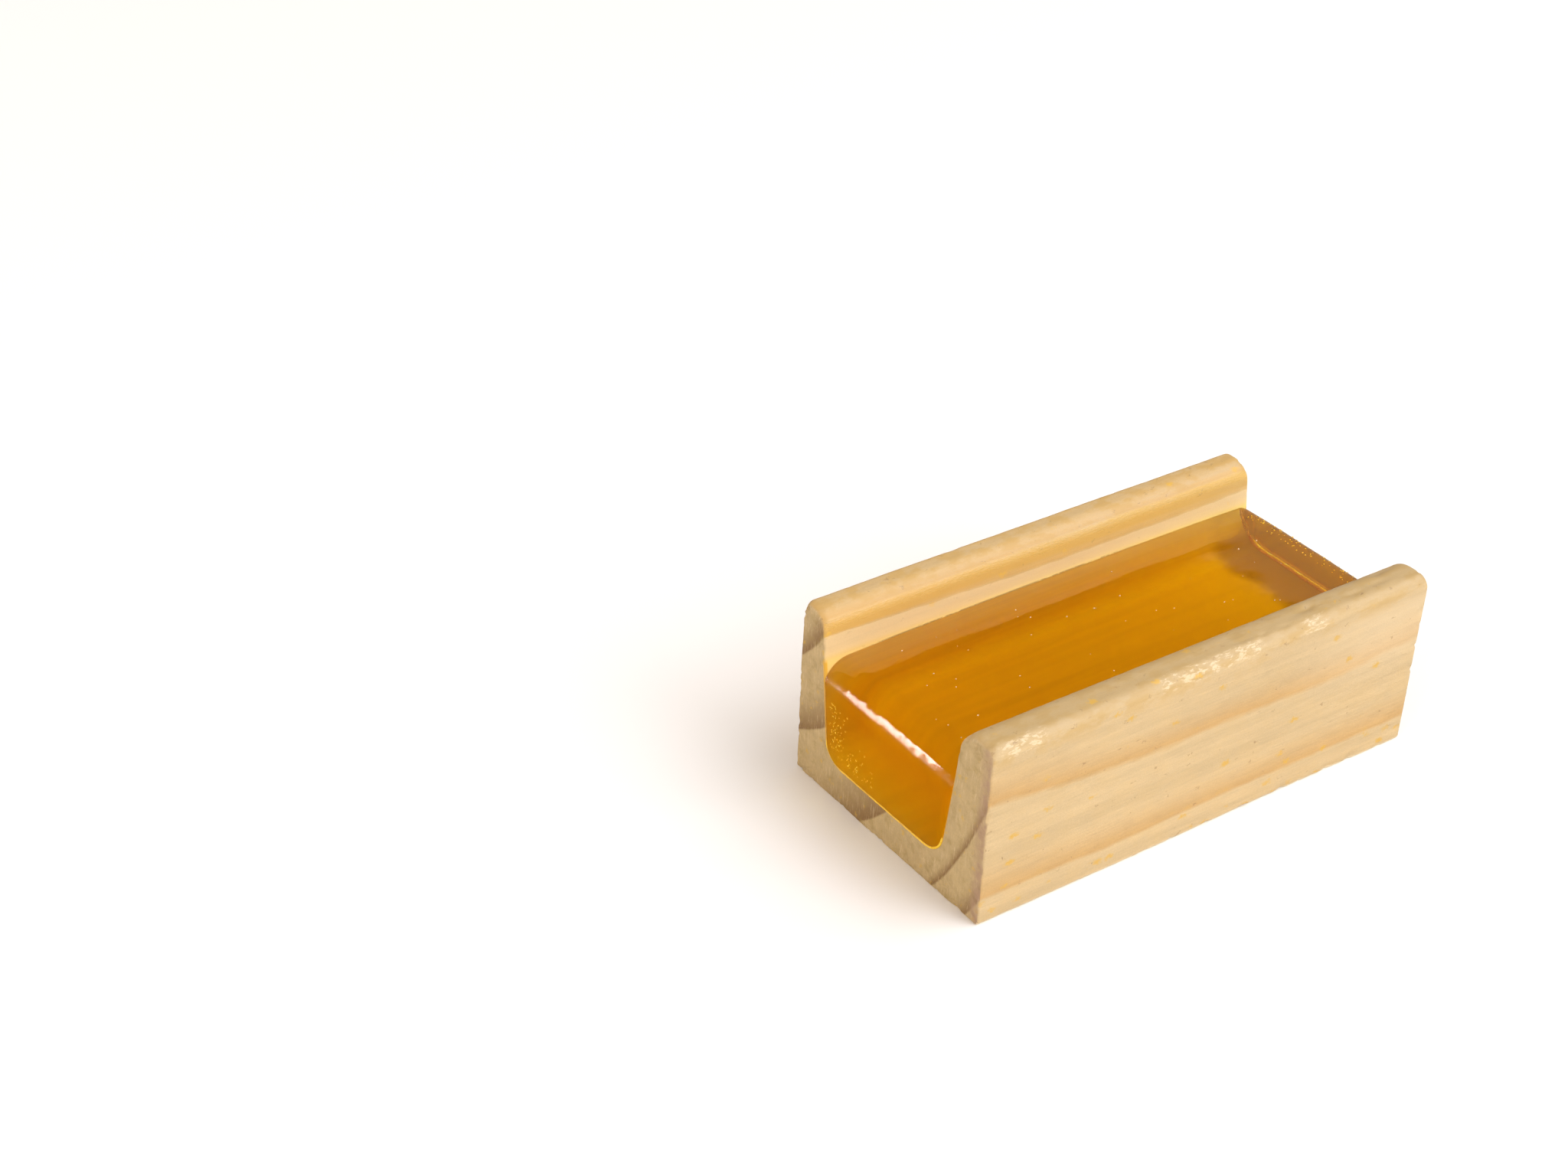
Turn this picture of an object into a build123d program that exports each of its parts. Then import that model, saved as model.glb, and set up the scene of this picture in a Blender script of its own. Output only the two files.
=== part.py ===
"""Rosin cake for bowed strings: a bar of rosin cast in a softwood trough.

Millimetres. X runs along the trough, Y across it, Z up, with the origin at the
centre of the base. The trough is open at both ends and along its top. The rosin is
poured hot, so it fills the channel and stays bonded to it: nothing moves.
"""

from build123d import *
import os
from math import radians, tan

# Trough
LENGTH = 60.0
WIDTH = 31.5  # over both walls
HEIGHT = 21.6  # base to the top of the walls
FLOOR = 4.6  # wood under the channel
THICK_WALL_TOP = 4.7  # the wall on the -Y side, where it meets its top
THIN_WALL_TOP = 3.5  # the wall on the +Y side
WALL_TAPER = 7.0  # degrees that each side of the channel leans outwards

# Rounding of the trough
CHANNEL_CORNER = 2.5  # where the channel's sides meet its floor
INNER_TOP_ROUND = 2.2
THICK_OUTER_TOP_ROUND = 1.3
THIN_OUTER_TOP_ROUND = 0.8
BASE_ROUND = 0.5
WALL_END_ROUND = 1.0  # where the wall tops meet the ends
END_ARRIS = 0.35  # the sanded edge all round each end

# Cake
CAKE_DEPTH = 11.8  # the channel's floor to the cake's level top
END_SWELL = 0.3  # how far the cake stands out of each end of the channel
END_EDGE_ROUND = 0.8  # round the sides and bottom of each end
NEAR_TOP_ROUND = 2.8  # where the -X end meets the top
FAR_TOP_ROUND = 2.0  # where the +X end meets the top

CAKE_TOP = FLOOR + CAKE_DEPTH
TAPER_RUN = tan(radians(WALL_TAPER))  # sideways run for each mm of height


def channel_points(top):
    """The channel's corners, from its -Y side at the height top to its +Y side."""
    thick_side = -WIDTH / 2 + THICK_WALL_TOP
    thin_side = WIDTH / 2 - THIN_WALL_TOP
    lean_top = (HEIGHT - top) * TAPER_RUN
    lean_floor = (HEIGHT - FLOOR) * TAPER_RUN
    return [
        (thick_side + lean_top, top),
        (thick_side + lean_floor, FLOOR),
        (thin_side - lean_floor, FLOOR),
        (thin_side - lean_top, top),
    ]


def outline(points, rounds):
    """A closed section through points, with the corner rounds given as (corner, radius)."""
    section = make_face(Polyline(*points, close=True))
    for corner, radius in rounds:
        section = fillet(section.vertices().sort_by_distance(corner)[0], radius)
    return section


def bar(section, length, edge_round):
    """A section drawn in Y and Z, run along X, with the edges of both ends rounded."""
    solid = extrude(Plane.YZ * section, amount=length / 2, both=True)
    ends = solid.faces().sort_by(Axis.X)
    return fillet(ends[0].edges() + ends[-1].edges(), edge_round)


def end_profile(length, height, near_round, far_round):
    """A slab rounded at its two top ends: what it has in common with a bar stays."""
    half = length / 2
    near_top = (-half, height)
    far_top = (half, height)
    section = outline(
        [(-half, 0), near_top, far_top, (half, 0)],
        [(near_top, near_round), (far_top, far_round)],
    )
    return extrude(Plane.XZ * section, amount=WIDTH, both=True)


def wooden_trough():
    """The U-shaped trough, milled from one length of pine and sanded."""
    side = WIDTH / 2
    channel = channel_points(HEIGHT)
    base = [(side, 0), (-side, 0)]
    thick_top = (-side, HEIGHT)
    thin_top = (side, HEIGHT)
    section = outline(
        [*base, thick_top, *channel, thin_top],
        [
            (base[0], BASE_ROUND),
            (base[1], BASE_ROUND),
            (thick_top, THICK_OUTER_TOP_ROUND),
            (thin_top, THIN_OUTER_TOP_ROUND),
            (channel[0], INNER_TOP_ROUND),
            (channel[1], CHANNEL_CORNER),
            (channel[2], CHANNEL_CORNER),
            (channel[3], INNER_TOP_ROUND),
        ],
    )
    profile = end_profile(LENGTH, HEIGHT, WALL_END_ROUND, WALL_END_ROUND)
    return bar(section, LENGTH, END_ARRIS) & profile


def rosin_cake():
    """The bar of rosin that fills the channel and stands slightly out of its ends."""
    length = LENGTH + 2 * END_SWELL
    channel = channel_points(CAKE_TOP)
    section = outline(
        channel,
        [(channel[1], CHANNEL_CORNER), (channel[2], CHANNEL_CORNER)],
    )
    profile = end_profile(length, CAKE_TOP, NEAR_TOP_ROUND, FAR_TOP_ROUND)
    return bar(section, length, END_EDGE_ROUND) & profile


PARTS = {"wooden_trough": wooden_trough, "rosin_cake": rosin_cake}

os.makedirs("parts", exist_ok=True)
for name, make in PARTS.items():
    export_step(make(), f"parts/{name}.step")
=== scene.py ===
"""The looks of a rosin cake: a sanded pine trough and the amber rosin cast in it."""

import math
import random
from types import SimpleNamespace

import bmesh
import bpy
import numpy as np
from mathutils import Euler, Matrix, Vector, noise


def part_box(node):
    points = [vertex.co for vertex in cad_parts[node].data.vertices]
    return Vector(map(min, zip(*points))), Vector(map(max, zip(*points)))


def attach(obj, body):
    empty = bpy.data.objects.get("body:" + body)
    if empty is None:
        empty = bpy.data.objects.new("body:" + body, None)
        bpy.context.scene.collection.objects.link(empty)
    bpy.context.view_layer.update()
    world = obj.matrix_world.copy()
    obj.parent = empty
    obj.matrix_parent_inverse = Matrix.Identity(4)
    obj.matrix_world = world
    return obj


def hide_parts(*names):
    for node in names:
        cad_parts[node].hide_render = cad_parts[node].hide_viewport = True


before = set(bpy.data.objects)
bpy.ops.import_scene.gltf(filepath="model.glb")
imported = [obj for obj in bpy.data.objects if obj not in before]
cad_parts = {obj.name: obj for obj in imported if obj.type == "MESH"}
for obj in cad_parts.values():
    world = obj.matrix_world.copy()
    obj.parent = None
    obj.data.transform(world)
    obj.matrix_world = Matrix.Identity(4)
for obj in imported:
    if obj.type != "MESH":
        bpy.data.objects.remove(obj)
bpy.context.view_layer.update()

MM = 0.001
trough_high = np.array(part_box("wooden_trough")[1]) / MM
cake_low, cake_high = (np.array(corner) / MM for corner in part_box("rosin_cake"))

# Lengths are in millimetres, in the row frame, until a mesh is made
HALF_LENGTH, SIDE, HEIGHT = trough_high
FLOOR = cake_low[2]  # the channel's floor
CAKE_TOP = cake_high[2]
CAKE_END = cake_high[0]

# Section of the trough
THICK_WALL_TOP = 4.7
THIN_WALL_TOP = 3.5
TAPER_RUN = math.tan(math.radians(7))
CHANNEL_CORNER = 2.5
INNER_TOP_ROUND = 2.2
THICK_OUTER_ROUND = 1.3
THIN_OUTER_ROUND = 0.8
BASE_ROUND = 0.5
ARRIS = 0.35  # the sanded edge round each end
WALL_END_ROUND = 1.1  # where the wall tops meet the ends
WALL_END_REACH = 4.0  # how far down the wall that rounding is spread
STATION = 0.38  # between the rings of points along the length

# Shape of the cake
BOND = 0.05  # the cake's sides lie this far inside the wood, so that no air is between them
NEAR_TOP_ROUND = 3.2
FAR_TOP_ROUND = 1.6
CROWN = 0.5  # how far the top rises along its length
CROWN_TURN = 0.62 * math.pi
CROWN_POWER = 0.7
END_DROP = 0.35  # the near end's top lies this far below the cake's highest
SIDE_DROP = 0.18  # and the top falls this far to where it meets the walls
FAR_FALL_FROM = 14.0  # X from which the top slopes down to the far end
FAR_FALL = 0.0006
END_EDGE_ROUND = 0.6
FAR_CORNER_ROUND = 2.0  # of the far end's upright corners, at the top

RIGHT_ANGLE = math.pi / 2


def smoothstep(x, low, high):
    t = np.clip((x - low) / (high - low), 0, 1)
    return t * t * (3 - 2 * t)


def quarter_round(depth, radius):
    """How far a rounded edge has fallen away, at a depth from the end face."""
    reach = np.clip(radius - depth, 0, radius)
    return radius - np.sqrt(radius * radius - reach * reach)


def rounded_path(corners, straights, arc_steps):
    """A path through (y, z, radius) corners, in straights[i] steps on each run and arc_steps on each arc."""
    spots = [np.array(corner[:2], float) for corner in corners]
    path = [spots[0]]
    for i in range(1, len(corners)):
        here = spots[i]
        run_in = (here - spots[i - 1]) / np.linalg.norm(here - spots[i - 1])
        radius = corners[i][2]
        arc = [here]
        if radius > 0:
            run_out = (spots[i + 1] - here) / np.linalg.norm(spots[i + 1] - here)
            turn = math.acos(run_in @ run_out)
            inward = run_out - run_in * math.cos(turn)
            inward = inward / np.linalg.norm(inward)
            start = here - run_in * radius * math.tan(turn / 2)
            centre = start + inward * radius
            angles = np.linspace(0, turn, arc_steps + 1)
            arc = [centre + radius * (run_in * math.sin(a) - inward * math.cos(a)) for a in angles]
        start = path[-1]
        steps = straights[i - 1]
        path += [start + (arc[0] - start) * k / steps for k in range(1, steps + 1)]
        path += arc[1:]
    return np.array(path)


def patch(first, second, steps):
    """A grid of points: rows from one path to another that has as many points."""
    return np.array([first + (second - first) * k / steps for k in range(steps + 1)])


def rim(grid):
    """The closed outline of a grid: along its first row, and back along its last."""
    return np.concatenate([grid[0], grid[1:, -1], grid[-1, -2::-1], grid[-2:0:-1, 0]])


def outward(loop):
    """Unit normals of a closed outline that runs anticlockwise round its solid."""
    along = np.roll(loop, -1, 0) - np.roll(loop, 1, 0)
    normal = np.stack([along[:, 1], -along[:, 0]], 1)
    return normal / np.linalg.norm(normal, axis=1)[:, None]


def stations(half, near_rounds, far_rounds, step):
    """Where the rings of points lie along X: close together on each rounded end."""
    fine = 1 - np.cos(np.linspace(0, RIGHT_ANGLE, 10))
    near = np.concatenate([fine * radius for radius in near_rounds])
    far = np.concatenate([fine * radius for radius in far_rounds])
    near = np.unique(np.round(near, 2))
    far = np.unique(np.round(far, 2))
    start, end = near[-1] - half, half - far[-1]
    middle = np.linspace(start, end, int((end - start) / step))[1:-1]
    return np.concatenate([near - half, middle, half - far[::-1]])


def loft(section, places):
    """Vertices and faces of a solid: section(x) is a grid of (y, z) points, and its rim is swept along X."""
    grids = [section(x) for x in places]
    rings = [rim(grid) for grid in grids]
    count = len(rings[0])
    points = [np.column_stack([np.full(count, x), ring]) for x, ring in zip(places, rings)]
    faces = []
    for i in range(len(places) - 1):
        for j in range(count):
            k = (j + 1) % count
            faces.append((i * count + j, i * count + k, (i + 1) * count + k, (i + 1) * count + j))
    total = count * len(places)
    for at, first, flip in ((0, 0, True), (-1, total - count, False)):
        grid = grids[at]
        rows, columns = grid.shape[:2]
        number = np.full((rows, columns), -1)
        edge = np.arange(first, first + count)
        number[0] = edge[:columns]
        number[1:, -1] = edge[columns:columns + rows - 1]
        number[-1, -2::-1] = edge[columns + rows - 1:2 * columns + rows - 2]
        number[-2:0:-1, 0] = edge[2 * columns + rows - 2:]
        inside = grid[1:-1, 1:-1].reshape(-1, 2)
        number[1:-1, 1:-1] = np.arange(total, total + len(inside)).reshape(rows - 2, columns - 2)
        total += len(inside)
        points.append(np.column_stack([np.full(len(inside), places[at]), inside]))
        for i in range(rows - 1):
            for j in range(columns - 1):
                face = (number[i, j], number[i, j + 1], number[i + 1, j + 1], number[i + 1, j])
                faces.append(tuple(int(v) for v in (face[::-1] if flip else face)))
    return np.concatenate(points), faces


def fractal(points, scale, octaves=2, seed=0.0):
    """Smooth noise in about -1 to 1 at points, with one frequency per axis in cycles per millimetre."""
    spots = points * np.array(scale) + seed
    return np.array([noise.fractal(Vector(spot), 1.0, 2.0, octaves) for spot in spots])


def add_piece(name, points, faces, material, body):
    """A smooth-shaded mesh object from points in millimetres, riding on a body."""
    mesh = bpy.data.meshes.new(name)
    mesh.from_pydata((points * MM).tolist(), [], faces)
    mesh.polygons.foreach_set("use_smooth", [True] * len(mesh.polygons))
    mesh.materials.append(material)
    piece = bpy.data.objects.new(name, mesh)
    bpy.context.scene.collection.objects.link(piece)
    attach(piece, body)
    return piece


def shift_along_normals(piece, amount):
    """Move each of a piece's points along its normal: amount(points) gives millimetres."""
    mesh = piece.data
    count = len(mesh.vertices)
    spots, normals = np.empty(count * 3), np.empty(count * 3)
    mesh.vertices.foreach_get("co", spots)
    mesh.vertices.foreach_get("normal", normals)
    spots, normals = spots.reshape(-1, 3), normals.reshape(-1, 3)
    spots = spots + normals * amount(spots / MM)[:, None] * MM
    mesh.vertices.foreach_set("co", spots.ravel())
    mesh.update()


def ball(centre, size, turn=(0, 0, 0)):
    """Points and faces of a small rounded lump: its half-widths along X, Y and Z, then its rotation."""
    made = bmesh.new()
    bmesh.ops.create_icosphere(made, subdivisions=2, radius=1.0)
    points = np.array([v.co[:] for v in made.verts]) * np.array(size)
    faces = [tuple(v.index for v in face.verts) for face in made.faces]
    made.free()
    return points @ np.array(Euler(turn).to_matrix()).T + np.array(centre), faces


def joined(shapes):
    """Several (points, faces) as one."""
    points, faces, count = [], [], 0
    for more_points, more_faces in shapes:
        points.append(more_points)
        faces += [tuple(v + count for v in face) for face in more_faces]
        count += len(more_points)
    return np.concatenate(points), faces


# ---- Shader helpers ----


def new_material(name):
    material = bpy.data.materials.new(name)
    material.use_nodes = True
    tree = material.node_tree
    tree.nodes.clear()
    return material, tree


def add_node(tree, kind, inputs=None, **settings):
    """A shader node. inputs maps a socket's name or number to a value, or to the socket that feeds it."""
    made = tree.nodes.new(kind)
    for key, value in settings.items():
        setattr(made, key, value)
    for key, value in (inputs or {}).items():
        if isinstance(value, bpy.types.NodeSocket):
            tree.links.new(value, made.inputs[key])
        else:
            made.inputs[key].default_value = value
    return made


def calc(tree, operation, *values, clamp=False):
    sockets = dict(enumerate(values))
    return add_node(tree, "ShaderNodeMath", sockets, operation=operation, use_clamp=clamp).outputs[0]


def product(tree, *values):
    result = values[0]
    for value in values[1:]:
        result = calc(tree, "MULTIPLY", result, value)
    return result


def centred(tree, value, size):
    """Noise in 0 to 1 taken to -size/2 to size/2."""
    return calc(tree, "MULTIPLY", calc(tree, "SUBTRACT", value, 0.5), size)


def map_to(tree, value, low, high, new_low=0.0, new_high=1.0):
    """value taken smoothly from low..high to new_low..new_high."""
    sockets = {"Value": value, "From Min": low, "From Max": high, "To Min": new_low, "To Max": new_high}
    return add_node(tree, "ShaderNodeMapRange", sockets, interpolation_type="SMOOTHSTEP").outputs["Result"]


def blend(tree, share, first, second, kind="MIX"):
    """Two colours mixed. A colour is a socket or (r, g, b)."""
    mixed = add_node(tree, "ShaderNodeMix", {"Factor": share}, data_type="RGBA", blend_type=kind)
    for socket, value in ((mixed.inputs[6], first), (mixed.inputs[7], second)):
        if isinstance(value, bpy.types.NodeSocket):
            tree.links.new(value, socket)
        else:
            socket.default_value = (*value, 1.0)
    return mixed.outputs[2]


def millimetres(tree):
    """Object coordinates in millimetres."""
    place = add_node(tree, "ShaderNodeTexCoord").outputs["Object"]
    scaled = add_node(tree, "ShaderNodeVectorMath", {0: place, "Scale": 1 / MM}, operation="SCALE")
    return scaled.outputs["Vector"]


def grain(tree, place, scale, detail=3.0, roughness=0.55, shift=0.0):
    """Noise in 0 to 1, with one frequency per axis in cycles per millimetre."""
    sockets = {"Vector": place, "Location": (shift, shift, shift), "Scale": scale}
    stretched = add_node(tree, "ShaderNodeMapping", sockets).outputs["Vector"]
    sockets = {"Vector": stretched, "Scale": 1.0, "Detail": detail, "Roughness": roughness}
    return add_node(tree, "ShaderNodeTexNoise", sockets).outputs["Fac"]


def specks(tree, place, scale, size, share, shift=0.0):
    """1 inside scattered spots, 0 between them.

    scale is in cells per millimetre on each axis, and size is a spot's in cells. share is how many of the cells
    hold one.
    """
    wobble = add_node(tree, "ShaderNodeTexNoise", {"Vector": place, "Scale": 2.5}).outputs["Color"]
    rough_place = add_node(tree, "ShaderNodeVectorMath", {0: wobble, 1: place}, operation="ADD").outputs[0]
    sockets = {"Vector": rough_place, "Location": (shift, shift, shift), "Scale": scale}
    stretched = add_node(tree, "ShaderNodeMapping", sockets).outputs["Vector"]
    cells = add_node(tree, "ShaderNodeTexVoronoi", {"Vector": stretched, "Scale": 1.0})
    pick = add_node(tree, "ShaderNodeSeparateColor", {0: cells.outputs["Color"]}).outputs[0]
    chosen = calc(tree, "GREATER_THAN", pick, 1 - share)
    return calc(tree, "MULTIPLY", map_to(tree, cells.outputs["Distance"], size, size * 0.3), chosen)


# ---- Pine ----

PITH = (26.25, 27.0)  # where the growth rings are centred, in Y and Z: outside the section
RING_EDGES = (8.0, 16.2, 24.3, 34.85, 43.65, 48.2, 53.5)  # radius of each ring's sharp bark side
LATEWOOD = (2.0, 2.2, 3.9, 6.0, 0.95, 1.9, 3.0)  # width of the dark wood inside each edge
SHARP_EDGE = 0.03  # half the width of a ring's bark side
RING_SPAN = 60.0
BOW_SPAN = 72.0  # the rings bow by half a wave over this length
OUTER_RINGS = (45.0, 48.5)  # radii over which the bow goes from the first of BOW_DEPTHS to the second
BOW_DEPTHS = (-0.62, -0.1)
TORN = ((-1.2, 7.2, 0.9), (13.3, 1.9, 0.7), (-25.9, 3.0, 0.8))  # middle X, half length, height of each patch
CHANNEL_MIDDLE = 0.6
HALF_CHANNEL = 11.7
FAR_SHADE_FROM = 24.0  # X beyond which the channel's floor is painted darker: painted shade towards the far end
THIN_INSIDE = (9.0, 10.0)  # Y over which the thin wall's inner side begins
NOISE_RANGE = (0.3, 0.7)  # where most of a noise's values lie

# Z over which each layer comes in
SOAKED_Z = (17.8, 15.6)
FAR_SHADE_Z = (17.2, 15.8)
RUN_Z = (16.4, 15.8)
PALE_INSIDE_Z = (16.2, 17.0)
GLOSS_Z = (18.9, 20.2)
GLAZED_Z = (18.6, 19.2)
BASE_GLOW_Z = (0.55, 0.15)
SPILT_Z = (5.0, 1.0)

EARLY_SIDE, LATE_SIDE = (0.615, 0.452, 0.240), (0.565, 0.342, 0.128)
EARLY_END, LATE_END = (0.54, 0.40, 0.195), (0.27, 0.155, 0.060)
YELLOW_STAIN_AND_SHADE = (0.53, 0.34, 0.115)
PAINTED_TOP_SHADE = (0.45, 0.31, 0.135)
GLAZED_TOP = (0.57, 0.33, 0.08)
PALE_SIDE = (0.76, 0.60, 0.38)
OPEN_FIBRE = (0.78, 0.63, 0.41)
DARK_NICK = (0.30, 0.19, 0.08)
SAW_MARK = (0.72, 0.56, 0.33)
END_GRIME = (0.36, 0.25, 0.085)
END_SPECK = (0.64, 0.40, 0.06)
RUBBED_EDGE = (0.42, 0.27, 0.175)
PAINTED_BASE_GLOW = (0.92, 0.80, 0.55)
RESIN_CANAL = (0.31, 0.18, 0.08)
SPILT_ROSIN = (0.66, 0.39, 0.06)
SOAKED_NEAR, SOAKED_FAR = (1.0, 0.68, 0.18), (1.0, 0.77, 0.20)
FAR_SHADE_BROWN = (0.33, 0.14, 0.04)
RUN_GOLD = (0.75, 0.40, 0.02)
CONTACT_BROWN = (0.22, 0.10, 0.02)
PALE_INSIDE = (0.80, 0.60, 0.33)


def ring_ramp(tree, radius):
    """0 in early wood, rising through the late wood to 1 at each ring's edge."""
    ramp = add_node(tree, "ShaderNodeValToRGB", {"Fac": calc(tree, "DIVIDE", radius, RING_SPAN)})
    stops = ramp.color_ramp.elements
    stops[0].position, stops[0].color = 0.0, (0, 0, 0, 1)
    stops[1].position, stops[1].color = 1.0, (0, 0, 0, 1)
    for edge, late in zip(RING_EDGES, LATEWOOD):
        rise = ((edge - late, 0.05), (edge - late * 0.5, 0.5))
        drop = ((edge - SHARP_EDGE, 1.0), (edge + SHARP_EDGE, 0.0))
        for at, level in rise + drop:
            stops.new(at / RING_SPAN).color = (level, level, level, 1)
    return ramp.outputs["Color"]


def ring_radius(tree, place, x, y, z):
    """Distance from the pith. It bows along the length, less in the outermost rings, and wavers."""
    across = calc(tree, "SUBTRACT", y, PITH[0])
    up = calc(tree, "SUBTRACT", z, PITH[1])
    squares = calc(tree, "ADD", product(tree, across, across), product(tree, up, up))
    radius = calc(tree, "SQRT", squares)
    along = calc(tree, "MULTIPLY", calc(tree, "ADD", x, HALF_LENGTH), math.pi / BOW_SPAN)
    bow = product(tree, calc(tree, "SINE", along), map_to(tree, radius, *OUTER_RINGS, *BOW_DEPTHS))
    waver = centred(tree, grain(tree, place, (0.05, 0.12, 0.12), 1.0), 0.5)
    ripple = centred(tree, grain(tree, place, (0.35, 1.1, 1.1), 3.0, 0.65), 0.24)
    return calc(tree, "ADD", radius, calc(tree, "ADD", bow, calc(tree, "ADD", waver, ripple)))


def pine_figure(tree):
    """What the pine's layers share: the place, how far it is end grain, its growth ring and its noises."""
    place = millimetres(tree)
    x, y, z = add_node(tree, "ShaderNodeSeparateXYZ", {0: place}).outputs
    facing = add_node(tree, "ShaderNodeTexCoord").outputs["Normal"]
    facing_x = add_node(tree, "ShaderNodeSeparateXYZ", {0: facing}).outputs[0]
    end_grain = map_to(tree, calc(tree, "ABSOLUTE", facing_x), 0.55, 0.95)
    return SimpleNamespace(
        place=place,
        x=x,
        y=y,
        z=z,
        end_grain=end_grain,
        long_grain=calc(tree, "SUBTRACT", 1.0, end_grain),
        late=ring_ramp(tree, ring_radius(tree, place, x, y, z)),
        fibre=grain(tree, place, (0.30, 4.5, 4.5), 4.0, 0.65),
        streak=grain(tree, place, (0.03, 0.8, 0.8), 3.0, 0.6, shift=7.0),
        mottle=grain(tree, place, (0.35, 0.6, 0.6), 3.0, 0.6, shift=11.0),
        pores=grain(tree, place, (5.0, 8.0, 8.0), 2.0, 0.7),
    )


def bare_wood(tree, wood):
    """Early and late wood, with an uneven tone: long streaks, blotches, fibres and pores."""
    side_colour = blend(tree, wood.late, EARLY_SIDE, LATE_SIDE)
    end_colour = blend(tree, wood.late, EARLY_END, LATE_END)
    colour = blend(tree, wood.end_grain, side_colour, end_colour)
    tone = product(
        tree,
        map_to(tree, wood.streak, *NOISE_RANGE, 0.94, 1.04),
        map_to(tree, wood.mottle, *NOISE_RANGE, 0.965, 1.025),
        map_to(tree, wood.fibre, *NOISE_RANGE, 0.955, 1.035),
        map_to(tree, wood.pores, *NOISE_RANGE, 0.95, 1.04),
    )
    shade = add_node(tree, "ShaderNodeCombineColor", {0: tone, 1: tone, 2: tone}).outputs[0]
    return blend(tree, 1.0, colour, shade, "MULTIPLY")


def with_stains_and_top_shade(tree, wood, colour):
    """Yellow where rosin dust and handling have stained it, most of all on the rounded wall tops, where the
    darker yellow is also painted shade.
    """
    # Towards the tops the yellow stain also darkens the wood: a real stain and painted shade together
    stain_and_shade_rise = map_to(tree, wood.z, HEIGHT - 3.2, HEIGHT - 0.3, 0.12, 0.75)
    yellowed_and_shaded = product(tree, map_to(tree, wood.mottle, 0.42, 0.62), stain_and_shade_rise, wood.long_grain)
    colour = blend(tree, yellowed_and_shaded, colour, YELLOW_STAIN_AND_SHADE)

    # The thick wall's top is painted darker, as painted shade, and the thin wall's has taken on more rosin
    thick_top = map_to(tree, wood.y, -8.0, -10.5)
    top_shade = product(tree, map_to(tree, wood.z, HEIGHT - 1.4, HEIGHT - 0.2), thick_top, wood.long_grain, 0.55)
    colour = blend(tree, top_shade, colour, PAINTED_TOP_SHADE)
    in_late = map_to(tree, wood.late, 0.0, 0.6, 0.45, 1.0)
    thin_top = product(tree, map_to(tree, wood.y, 10.5, 11.5), in_late, map_to(tree, wood.z, *GLAZED_Z))
    glazed = product(tree, thin_top, map_to(tree, wood.streak, 0.3, 0.6, 0.45, 0.85))
    colour = blend(tree, product(tree, glazed, wood.long_grain), colour, GLAZED_TOP)

    # It is paler high up by the far end of the thick wall's outer face
    high_up = product(tree, map_to(tree, wood.z, 9.0, 15.0), map_to(tree, wood.z, 20.6, 18.6))
    paler = product(tree, map_to(tree, wood.x, 6.0, 26.0), high_up, map_to(tree, wood.y, -14.0, -15.0), 0.4)
    return blend(tree, paler, colour, PALE_SIDE)


def with_wear(tree, wood, colour):
    """Torn fibres, pale where they lie open, and dark nicks along the wall tops."""
    outer_side = map_to(tree, wood.y, 1.4 - SIDE, 0.8 - SIDE)
    outer_edge = product(tree, map_to(tree, wood.z, HEIGHT - 1.7, HEIGHT - 1.0), outer_side)
    torn = 0.0
    for middle, half, _ in TORN:
        beside = calc(tree, "ABSOLUTE", calc(tree, "SUBTRACT", wood.x, middle))
        torn = calc(tree, "MAXIMUM", torn, map_to(tree, beside, half + 0.3, half - 0.9))
    shreds = map_to(tree, grain(tree, wood.place, (0.9, 2.6, 2.6), 4.0, 0.7, shift=13.0), 0.50, 0.60)
    colour = blend(tree, product(tree, torn, shreds, outer_edge, 0.6), colour, OPEN_FIBRE)
    top_share = map_to(tree, wood.z, HEIGHT - 1.8, HEIGHT - 0.5)
    nicks = specks(tree, wood.place, (0.75, 1.5, 1.5), 0.24, 0.28, shift=51.0)
    return blend(tree, product(tree, nicks, top_share, wood.long_grain, 0.5), colour, DARK_NICK)


def with_end_marks(tree, wood, colour):
    """Saw marks, grime and specks on the end grain, rubbed beside the thick wall's outer face."""
    saw = grain(tree, wood.place, (1.0, 7.0, 0.5), 3.0, 0.7, shift=5.0)
    sawn = product(tree, map_to(tree, saw, 0.54, 0.68, 0.0, 0.55), wood.end_grain)
    colour = blend(tree, sawn, colour, SAW_MARK)
    grime = grain(tree, wood.place, (0.4, 0.7, 0.7), 3.0, 0.65, shift=17.0)
    grimy = product(tree, map_to(tree, grime, 0.48, 0.72, 0.0, 0.55), wood.end_grain)
    colour = blend(tree, grimy, colour, END_GRIME)
    flecks = specks(tree, wood.place, (1.0, 0.9, 0.7), 0.30, 0.5, shift=61.0)
    colour = blend(tree, product(tree, flecks, wood.end_grain, 0.6), colour, END_SPECK)
    rubbed = map_to(tree, calc(tree, "ADD", wood.y, centred(tree, wood.mottle, 0.8)), 1.9 - SIDE, 0.5 - SIDE)
    rubbed = product(tree, rubbed, map_to(tree, grime, 0.35, 0.6, 0.35, 0.8), wood.end_grain)
    return blend(tree, rubbed, colour, RUBBED_EDGE)


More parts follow.
